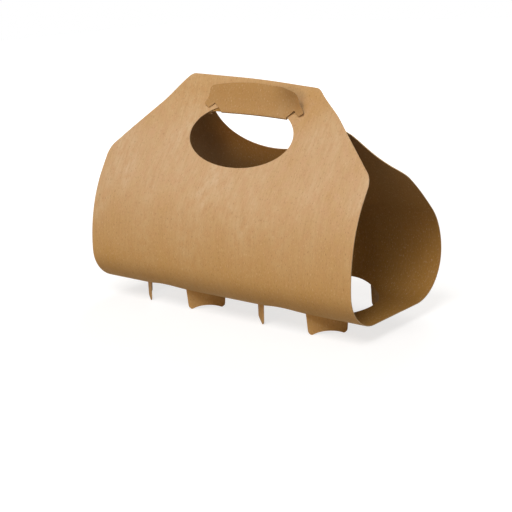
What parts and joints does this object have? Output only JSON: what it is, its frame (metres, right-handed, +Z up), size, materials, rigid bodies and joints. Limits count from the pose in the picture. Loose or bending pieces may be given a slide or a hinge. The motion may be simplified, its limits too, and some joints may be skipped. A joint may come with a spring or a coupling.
{
  "type": "cup carrier",
  "caption": "Folded kraft card carrier with round cup holes in its floor, sloping shoulders, an oval hand hole and a locking tongue.",
  "frame": {"origin": "centre of the bounding box at its bottom, in the plane of the tab ends that the carrier stands on", "axes": "+X along the row of cup holes, -Y towards the front panel that the tongue folds over, +Z up to the handle"},
  "size_m": [0.213, 0.097, 0.1447],
  "materials": {
    "kraft_card": "matte"
  },
  "bodies": {
    "root": {"carrier_sheet": "kraft_card"}
  },
  "joints": []
}
